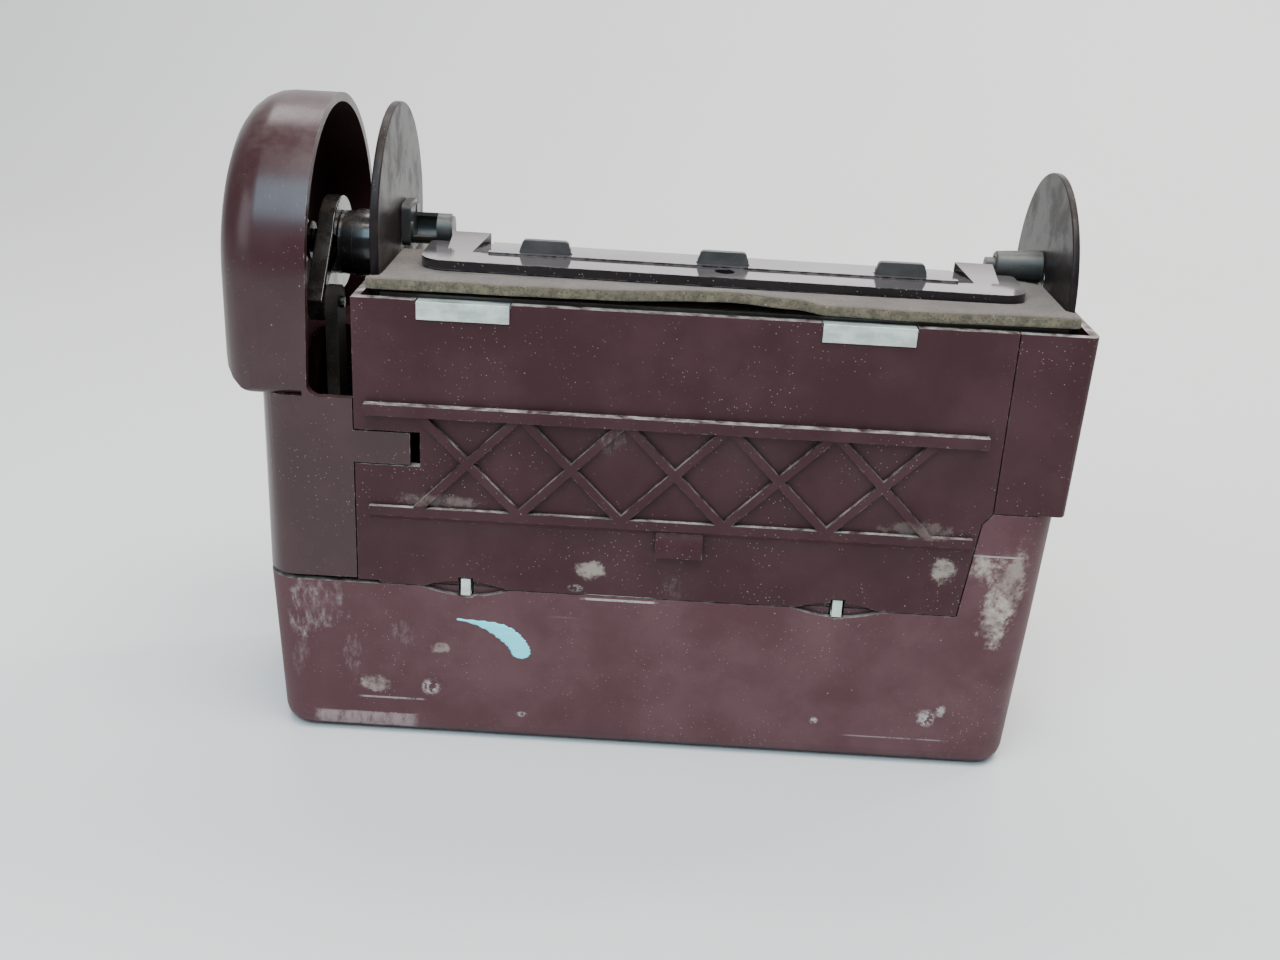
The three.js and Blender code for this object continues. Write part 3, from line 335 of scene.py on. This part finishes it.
def foam():
    """Open-cell foam strip: olive-brown cut edge, mauve-brown worn skin, pores and crumbs."""
    graph = Graph("foam_brown")
    upward = graph.range(graph.axis(graph.normal, 2), 0.25, 0.75)
    cloud = graph.range(graph.noise(12 * MM, 5, 0.65), 0.35, 0.68)
    skin = graph.blend(cloud, (0.058, 0.037, 0.026), (0.105, 0.071, 0.048))
    crust = graph.range(graph.noise(3 * MM, 5, 0.7), 0.35, 0.65)
    edge = graph.blend(crust, (0.062, 0.050, 0.028), (0.150, 0.122, 0.070))
    tone = graph.blend(upward, edge, skin)
    pores = graph.specks(0.75 * MM, 0.30)
    tone = graph.blend(graph.times(pores, 0.6), tone, (0.045, 0.034, 0.028))
    crumbs = graph.times(graph.specks(2.2 * MM, 0.10), graph.range(graph.noise(16 * MM, 2), 0.48, 0.62))
    tone = graph.blend(graph.times(crumbs, 0.7), tone, (0.38, 0.33, 0.26))
    cells = graph.bump(pores, -0.25 * MM, 0.9)
    nap = graph.bump(graph.noise(0.5 * MM, 4, 0.7), 0.25 * MM, 0.8, cells)
    return graph.finish(tone, 0.95, nap, Sheen_Weight=0.25, Sheen_Roughness=0.6)


def zinc_sheet():
    """Dull plated sheet: greenish-white bloom, darker scratches and a few rubbed spots."""
    graph = Graph("zinc_plate")
    bloom = graph.range(graph.noise(4 * MM, 6, 0.7, (0.5, 1, 1)), 0.30, 0.70)
    tone = graph.blend(bloom, (0.40, 0.45, 0.41), (0.70, 0.79, 0.72))
    rubbed = graph.range(graph.noise(7 * MM, 5, 0.75), 0.60, 0.70)
    tone = graph.blend(graph.times(rubbed, 0.5), tone, (0.22, 0.24, 0.23))
    roughness = graph.range(bloom, 0, 1, 0.36, 0.58)
    brushed = graph.bump(graph.noise(0.35 * MM, 3, 0.6, (0.06, 1, 1)), 0.02 * MM, 0.6)
    return graph.finish(tone, roughness, brushed, Metallic=0.55)


def turned_steel(name="turned_steel", shine=1.0):
    """Turned rod: fine rings and stains; a shine under 1 is a blackened finish."""
    graph = Graph(name)
    stain = graph.range(graph.noise(3 * MM, 5, 0.7), 0.40, 0.75)
    bright, dull = (0.46, 0.45, 0.43), (0.24, 0.20, 0.17)
    tone = graph.blend(stain, [shine * c for c in bright], [shine * c for c in dull])
    rings = graph.bump(graph.noise(0.22 * MM, 2, 0.5, (1, 0.08, 0.08)), 0.02 * MM, 0.5)
    return graph.finish(tone, graph.range(stain, 0, 1, 0.26, 0.48), rings, Metallic=0.95)


def acetal():
    """Waxy natural bearing plastic with grey grease stains."""
    graph = Graph("acetal_natural")
    stain = graph.range(graph.noise(5 * MM, 5, 0.7), 0.45, 0.75)
    tone = graph.blend(graph.times(stain, 0.6), (0.55, 0.51, 0.40), (0.24, 0.20, 0.15))
    # Corners and hollows are blended towards dark brown: painted shade.
    tone = graph.blend(graph.times(graph.crevice(2 * MM), 0.5), tone, (0.10, 0.08, 0.06))
    grain = graph.bump(graph.noise(0.5 * MM, 2), 0.02 * MM, 0.3)
    return graph.finish(tone, graph.range(stain, 0, 1, 0.34, 0.5), grain)


def dab_paint():
    """Pale cyan marker paint, brushed on thinly, with darker streaks where it thins."""
    graph = Graph("cyan_paint")
    streaks = graph.range(graph.noise(1.6 * MM, 4, 0.6, (0.3, 1, 1.4), (0, 0.35, 0)), 0.35, 0.70)
    tone = graph.blend(graph.times(streaks, 0.35), (0.19, 0.86, 0.95), (0.13, 0.70, 0.83))
    brushed = graph.bump(streaks, 0.05 * MM, 0.5)
    return graph.finish(tone, 0.6, brushed)


# Worn patches, in millimetres from the panel's left seam and from the floor.
TUB_SCUFFS = (
    (-12.5, 40, 7.5, 10.5, 0.36, "smear"),
    (-17.0, 33, 2.6, 14.0, 0.20, "smear"),
    (-2.0, 25, 2.8, 9.0, 0.28, "smear"),
    (3.2, 16.5, 4.4, 2.6, 0.42, "residue"),
    (8.5, 12.0, 9.0, 0.30, 0.40, "line"),
    (19.3, 16.2, 2.8, 2.6, 0.55, "chip"),
    (11.5, 32, 5.0, 4.6, 0.22, "smear"),
    (22.0, 29, 3.0, 1.8, 0.30, "residue"),
    (1.2, 4.6, 14.0, 2.4, 0.42, "tape"),
    (168.0, 62, 4.0, 4.4, 0.55, "residue"),
    (175.0, 58, 5.0, 11.0, 0.34, "residue"),
    (172.5, 48, 4.2, 9.0, 0.56, "residue"),
    (170.8, 66.4, 6.6, 0.25, 0.45, "line"),
    (158.0, 15.5, 2.8, 3.0, 0.50, "chip"),
    (162.0, 18.0, 1.6, 2.2, 0.45, "chip"),
    (127.0, 12.6, 1.3, 1.2, 0.65, "chip"),
    (45.0, 9.0, 1.5, 0.9, 0.55, "chip"),
    (150.0, 8.5, 14.0, 0.22, 0.25, "line"),
    (71.0, 46.9, 10.0, 0.35, 0.60, "line"),
)

PANEL_SCUFFS = (
    (63.0, 55.5, 4.4, 2.8, 0.42, "residue"),
    (59.0, 50.0, 2.2, 1.2, 0.30, "chip"),
    (86.0, 52.5, 3.6, 4.6, 0.12, "smear"),
    (157.0, 61.5, 3.6, 3.6, 0.40, "residue"),
    (71.0, 48.1, 9.0, 0.25, 0.55, "line"),
    (66.5, 92.5, 4.0, 5.0, 0.20, "smear"),
    (21.0, 73.5, 12.0, 1.8, 0.16, "residue"),
    (149.0, 73.0, 10.0, 2.2, 0.12, "residue"),
)

SATIN = {"Specular_IOR_Level": 0.22, "Coat_Weight": 0.03, "Coat_Roughness": 0.4}
BROWN_DUST = (0.20, 0.155, 0.115)


def finishes():
    """The finish of each of the record's material slots, by slot name."""
    return {
        # The maroon hue of these shell colours is partly their own colour and partly a painted reflection of
        # red surroundings.
        "tub_plastic": moulded_plastic(
            "tub_brown", (0.078, 0.030, 0.035), (0.110, 0.051, 0.057), 0.50,
            dust=0.5, specks=0.7, crevice_shade=0.8, edges=0.3, scuffs=TUB_SCUFFS, **SATIN,
        ),
        "shell_plastic": moulded_plastic(
            "shell_maroon", (0.038, 0.011, 0.014), (0.054, 0.020, 0.024), 0.46,
            dust=0.75, specks=0.75, crevice_shade=0.7, edges=0.35, scuffs=PANEL_SCUFFS, **SATIN,
        ),
        "hood_plastic": moulded_plastic(
            "hood_maroon", (0.032, 0.008, 0.010), (0.044, 0.015, 0.018), 0.32,
            dust=0.05, specks=0.6, crevice_shade=0.3, edges=0.6,
            Specular_IOR_Level=0.36, Coat_Weight=0.19, Coat_Roughness=0.22,
        ),
        "black_plastic": satin_black("satin_black", (0.014, 0.012, 0.013), 0.34, BROWN_DUST, 0.2, 0.35, 0.6),
        "gloss_black": plate_with_painted_reflection(),
        "grey_plastic": satin_black(
            "dull_grey", (0.034, 0.034, 0.035), 0.38, (0.15, 0.13, 0.10), 0.2, 0.25, 0.4,
        ),
        "bearing_plastic": acetal(),
        "foam": foam(),
        "zinc_sheet": zinc_sheet(),
        "steel": turned_steel(),
    }


def special_finishes():
    """Pieces whose own wear sets them apart from the rest of their slot."""
    arm = satin_black(
        "arm_black", (0.010, 0.008, 0.009), 0.24, BROWN_DUST, 0.02, 0.15, 0.2, Coat_Weight=0.25,
    )
    link = satin_black(
        "link_dusty", (0.014, 0.011, 0.010), 0.55, (0.10, 0.075, 0.055), 0.45, 0.0, 0.8,
        Specular_IOR_Level=0.10,
    )
    disc = satin_black(
        "disc_satin", (0.013, 0.009, 0.010), 0.34, BROWN_DUST, 0.05, 0.10, 0.8,
        Specular_IOR_Level=0.12,
    )
    blackened = turned_steel("blackened_steel", 0.12)
    return {
        "crank_arm": arm, "head_boss": arm, "link_bar": link, "left_disc": disc, "right_disc": disc,
        "head_shaft": blackened, "crank_pin": blackened, "shaft_ring": blackened,
    }


# ---- surfaces of the CAD pieces ------------------------------------------------------------------

# Radius of the edge rounds of the larger pieces, in millimetres.
EDGE_ROUND = {
    "base_tub": 0.35, "left_end_cover": 0.45, "front_panel": 0.22, "right_end_cover": 0.40,
    "rear_panel": 0.35, "top_deck": 0.25, "guide_plate": 0.45, "left_disc": 0.45,
    "right_disc": 0.40, "crank_arm": 0.40, "link_bar": 0.50, "head_boss": 0.30,
}
SMALL_EDGE_ROUND = 0.12
SMOOTH_BELOW = math.radians(32)
WELD_DISTANCE = 0.002 * MM
FLAT_BELOW = math.radians(0.4)


def dress(piece, material, edge_round):
    """Gives a piece its finish, small edge rounds and even shading, and leaves its own mesh as it is."""
    piece.data.materials.clear()
    piece.data.materials.append(material)
    for face in piece.data.polygons:
        face.use_smooth = True
    weld = piece.modifiers.new("weld", "WELD")
    weld.merge_threshold = WELD_DISTANCE
    flat = piece.modifiers.new("flat_faces", "DECIMATE")
    flat.decimate_type = "DISSOLVE"
    flat.angle_limit = FLAT_BELOW
    bevel = piece.modifiers.new("edge_round", "BEVEL")
    bevel.width = edge_round * MM
    bevel.segments = 2
    bevel.limit_method = "ANGLE"
    bevel.angle_limit = SMOOTH_BELOW
    bevel.use_clamp_overlap = True
    weighted = piece.modifiers.new("shading", "WEIGHTED_NORMAL")
    weighted.keep_sharp = True


def dress_cad(materials, special):
    for row in frame["record"]["subparts"]:
        name = row["node"]
        finish = special.get(name, materials[row["material_slot"]])
        dress(nodes[name], finish, EDGE_ROUND.get(name, SMALL_EDGE_ROUND))


# ---- foam gasket ---------------------------------------------------------------------------------

VOXEL = 0.8 * MM
LIFT_FADE = 13 * MM
RIPPLE_HEIGHT = 0.12 * MM
EDGE_RIPPLE_HEIGHT = 0.22 * MM
# How far the foam's front edge has come up, in millimetres, at places along it from the left seam.
EDGE_LIFT = (
    (0, 0.7), (40, 0.8), (63, 1.0), (88, 2.0), (94, 2.3), (111, 1.4), (120, 0.2), (144, 0.0), (184, 0.4),
)


def smooth_step(t):
    t = min(max(t, 0.0), 1.0)
    return t * t * (3 - 2 * t)


def lift_at(x):
    """Height of the foam's front edge over its bed, in metres, x metres from the left seam."""
    place = x / MM
    for (x0, low), (x1, high) in zip(EDGE_LIFT, EDGE_LIFT[1:]):
        if place <= x1:
            return (low + (high - low) * smooth_step((place - x0) / (x1 - x0))) * MM
    return EDGE_LIFT[-1][1] * MM


def soft_gasket(material):
    """The foam strip as it lies: remeshed from its CAD solid, with its front edge lifted and rippled."""
    bed = nodes["foam_gasket"]
    low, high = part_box("foam_gasket")
    mesh = bed.data.copy()
    piece = bpy.data.objects.new("gasket_foam", mesh)
    bpy.context.scene.collection.objects.link(piece)
    remesh = piece.modifiers.new("remesh", "REMESH")
    remesh.mode = "VOXEL"
    remesh.voxel_size = VOXEL
    ease = piece.modifiers.new("ease", "SMOOTH")
    ease.factor = 0.5
    ease.iterations = 2
    graph = bpy.context.evaluated_depsgraph_get()
    solid = bpy.data.meshes.new_from_object(piece.evaluated_get(graph))
    piece.modifiers.clear()
    piece.data = solid
    for vertex in solid.vertices:
        x, y, z = vertex.co
        along = x - SEAM_X
        back = 1 - smooth_step((y - low.y) / LIFT_FADE)
        ripple = RIPPLE_HEIGHT * math.sin(along / (5.2 * MM)) * math.sin(y / (3.4 * MM) + along / (9 * MM))
        wander = 1.3 * math.sin(along / (7.7 * MM))
        edge_ripple = EDGE_RIPPLE_HEIGHT * math.sin(along / (3.1 * MM) + wander) * back
        upper = smooth_step((z - low.z) / (high.z - low.z))
        vertex.co.z = z + lift_at(along) * back + ripple * upper * back
        vertex.co.y = y + 0.5 * edge_ripple
    for face in solid.polygons:
        face.use_smooth = True
    solid.materials.clear()
    solid.materials.append(material)
    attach(piece, "housing")
    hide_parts("foam_gasket")
    return piece


# ---- return spring -------------------------------------------------------------------------------

def working_spring(material):
    """The return spring as its own dressed mesh, with its placement baked in, in place of the hidden CAD
    spring.
    """
    piece = bpy.data.objects.new("working_spring", nodes["return_spring"].data.copy())
    bpy.context.scene.collection.objects.link(piece)
    dress(piece, material, SMALL_EDGE_ROUND)
    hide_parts("return_spring")
    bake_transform(piece)
    return piece


# ---- paint dab -----------------------------------------------------------------------------------

DAB_START = Vector((26.8, 38.3)) * MM
DAB_BEND = Vector((44.0, 36.8)) * MM
DAB_END = Vector((45.0, 27.0)) * MM
DAB_HALF_WIDTH = 2.7 * MM
DAB_THICK = 0.07 * MM
DAB_STEPS = 44
DAB_ACROSS = 8
DAB_CAST_FROM = 10 * MM
DAB_CLEAR = 0.01 * MM


def dab_line(t):
    """Point and sideways direction of the brush stroke at t from 0 to 1, in the front face's X and Z."""
    point = DAB_START * (1 - t) ** 2 + DAB_BEND * 2 * t * (1 - t) + DAB_END * t * t
    along = (DAB_BEND - DAB_START) * (1 - t) + (DAB_END - DAB_BEND) * t
    along.normalize()
    return point, Vector((-along.y, along.x))


def dab_half_width(t):
    """Narrow bristly tail, broad body and a round blunt end."""
    body = smooth_step(t / 0.55) * (0.80 + 0.20 * t)
    end = math.sqrt(max(0.0, 1 - max(0.0, (t - 0.88) / 0.12) ** 2))
    bristles = 0.10 * math.sin(t * 61) * (1 - t) + 0.05 * math.sin(t * 137)
    return DAB_HALF_WIDTH * max(0.04, (0.10 + 0.90 * body) * end + bristles * (0.3 + body) * end)


def paint_dab(material):
    """A thin comma of paint, laid on the tub's front face by casting onto it."""
    tub = nodes["base_tub"]
    work = bmesh.new()
    rows = []
    for step in range(DAB_STEPS + 1):
        t = step / DAB_STEPS
        point, sideways = dab_line(t)
        row = []
        for lane in range(DAB_ACROSS + 1):
            share = 2 * lane / DAB_ACROSS - 1
            place = point + sideways * dab_half_width(t) * share
            start = Vector((SEAM_X + place.x, FRONT_Y - DAB_CAST_FROM, FLOOR_Z + place.y))
            hit, where, _, _ = tub.ray_cast(start, Vector((0, 1, 0)))
            ground = where.y if hit else FRONT_Y
            crown = DAB_THICK * (1 - 0.8 * share * share)
            row.append(work.verts.new((start.x, ground - DAB_CLEAR - crown, start.z)))
        rows.append(row)
    for near, far in zip(rows, rows[1:]):
        for lane in range(DAB_ACROSS):
            work.faces.new((near[lane], near[lane + 1], far[lane + 1], far[lane]))
    edge = [e for e in work.edges if e.is_boundary]
    made = bmesh.ops.extrude_edge_only(work, edges=edge)
    for item in made["geom"]:
        if isinstance(item, bmesh.types.BMVert):
            item.co.y += DAB_THICK * 0.8
    rim = [e for e in work.edges if e.is_boundary]
    bmesh.ops.edgeloop_fill(work, edges=rim)
    bmesh.ops.recalc_face_normals(work, faces=work.faces)
    mesh = bpy.data.meshes.new("paint_dab")
    work.to_mesh(mesh)
    work.free()
    for face in mesh.polygons:
        face.use_smooth = len(face.vertices) < 5
    mesh.materials.append(material)
    piece = bpy.data.objects.new("paint_dab", mesh)
    bpy.context.scene.collection.objects.link(piece)
    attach(piece, "housing")
    return piece


# ---- camera, floor and light ---------------------------------------------------------------------

VIEW_POINT = Vector((0.00331, -0.38045, 0.22002))
VIEW_DOWN = math.radians(22.03)
VIEW_YAW = math.radians(-0.787)
VIEW_ROLL = math.radians(-2.997)
LENS = 39.375
SENSOR = 36.0


def make_camera():
    forward = Vector((
        math.sin(VIEW_YAW) * math.cos(VIEW_DOWN),
        math.cos(VIEW_YAW) * math.cos(VIEW_DOWN),
        -math.sin(VIEW_DOWN),
    ))
    level = Vector((math.cos(VIEW_YAW), -math.sin(VIEW_YAW), 0))
    below = forward.cross(level)
    right = level * math.cos(VIEW_ROLL) + below * math.sin(VIEW_ROLL)
    down = below * math.cos(VIEW_ROLL) - level * math.sin(VIEW_ROLL)
    turn = Matrix((right, -down, -forward)).transposed().to_4x4()
    data = bpy.data.cameras.new("camera")
    data.lens = LENS
    data.sensor_width = SENSOR
    data.clip_start = 0.01
    data.clip_end = 50
    camera = bpy.data.objects.new("camera", data)
    camera.matrix_world = Matrix.Translation(VIEW_POINT) @ turn
    bpy.context.scene.collection.objects.link(camera)
    bpy.context.scene.camera = camera


SWEEP_WALL_Y = 1.15
SWEEP_RADIUS = 0.55
SWEEP_FRONT_Y = -4.0
SWEEP_HALF_WIDTH = 4.0
SWEEP_TOP_Z = 2.6
SWEEP_ARC_STEPS = 24


def make_sweep():
    """Pale studio sweep: a floor that curves up into a wall well behind the object."""
    profile = [(SWEEP_FRONT_Y, 0.0)]
    for step in range(SWEEP_ARC_STEPS + 1):
        angle = math.pi / 2 * step / SWEEP_ARC_STEPS
        y = SWEEP_WALL_Y - SWEEP_RADIUS + SWEEP_RADIUS * math.sin(angle)
        profile.append((y, SWEEP_RADIUS * (1 - math.cos(angle))))
    profile.append((SWEEP_WALL_Y, SWEEP_TOP_Z))
    corners = [(x, y, z) for y, z in profile for x in (-SWEEP_HALF_WIDTH, SWEEP_HALF_WIDTH)]
    faces = [(2 * i, 2 * i + 1, 2 * i + 3, 2 * i + 2) for i in range(len(profile) - 1)]
    mesh = bpy.data.meshes.new("sweep")
    mesh.from_pydata(corners, [], faces)
    for face in mesh.polygons:
        face.use_smooth = True
    graph = Graph("pale_sweep")
    tone = graph.blend(graph.noise(0.3, 2), (0.70, 0.69, 0.68), (0.74, 0.73, 0.72))
    mesh.materials.append(graph.finish(tone, 0.8, Specular_IOR_Level=0.2))
    sweep = bpy.data.objects.new("sweep", mesh)
    bpy.context.scene.collection.objects.link(sweep)


def area_light(name, place, target, size, power, colour=(1, 1, 1)):
    data = bpy.data.lights.new(name, "AREA")
    data.shape = "RECTANGLE"
    data.size, data.size_y = size
    data.energy = power
    data.color = colour
    light = bpy.data.objects.new(name, data)
    light.location = place
    light.rotation_mode = "QUATERNION"
    light.rotation_quaternion = (Vector(target) - Vector(place)).to_track_quat("-Z", "Y")
    bpy.context.scene.collection.objects.link(light)


def make_lights():
    world = bpy.data.worlds.new("studio")
    world.use_nodes = True
    backdrop = world.node_tree.nodes["Background"]
    backdrop.inputs["Color"].default_value = (0.82, 0.84, 0.88, 1)
    backdrop.inputs["Strength"].default_value = 0.42
    bpy.context.scene.world = world
    area_light("key", (0.12, -0.28, 1.15), (0, 0, 0.08), (0.8, 0.45), 14, (1.0, 0.94, 0.90))
    area_light("cool_front", (-0.16, -0.80, 0.95), (-0.09, 0, 0.15), (0.8, 0.6), 11, (0.55, 0.84, 1.0))
    area_light("rear_top", (0.05, 0.55, 1.1), (0, 0.1, 0.05), (1.2, 0.4), 9, (1.0, 0.98, 0.95))
    area_light("left_fill", (-0.85, -0.65, 0.55), (-0.03, 0, 0.09), (0.5, 0.6), 2.5, (0.90, 0.95, 1.0))
    area_light("wall_wash", (0.75, 0.35, 0.75), (0.30, SWEEP_WALL_Y, 0.45), (0.4, 0.3), 9, (1.0, 1.0, 0.98))


# ---- put together --------------------------------------------------------------------------------

materials = finishes()
dress_cad(materials, special_finishes())
soft_gasket(materials["foam"])
working_spring(materials["steel"])
paint_dab(dab_paint())
make_camera()
make_sweep()
make_lights()
